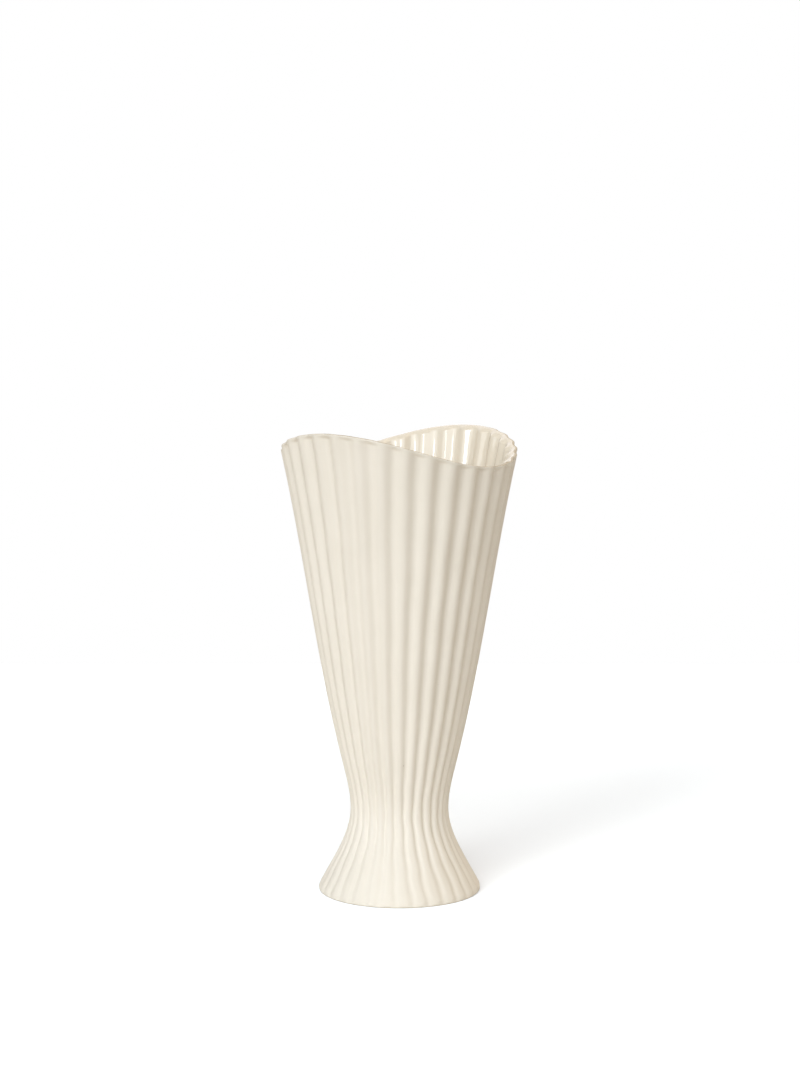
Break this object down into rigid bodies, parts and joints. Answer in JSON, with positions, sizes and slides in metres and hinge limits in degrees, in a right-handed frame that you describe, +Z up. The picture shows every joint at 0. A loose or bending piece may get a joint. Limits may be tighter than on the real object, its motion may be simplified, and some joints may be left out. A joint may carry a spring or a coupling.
{
  "type": "vase",
  "caption": "Tall fluted ceramic vase with a wavy lip, a narrow waist and a flared foot, matt outside and glazed inside, for fresh or dried flowers.",
  "frame": {"origin": "centre of the base, on the plane that the vase stands on", "axes": "+Z up along the vase's axis, -Y towards the viewer of the picture, +X to the viewer's right"},
  "size_m": [0.1266, 0.129, 0.25],
  "materials": {
    "bare_clay": "matt, unglazed, sponged smooth",
    "matt_clay": "matt off-white, fine-grained",
    "inner_glaze": "glossy cream glaze"
  },
  "bodies": {
    "root": {"base_disc": "bare_clay", "fluted_foot": "matt_clay", "fluted_cup": "matt_clay", "glaze_lining": "inner_glaze"}
  },
  "joints": []
}
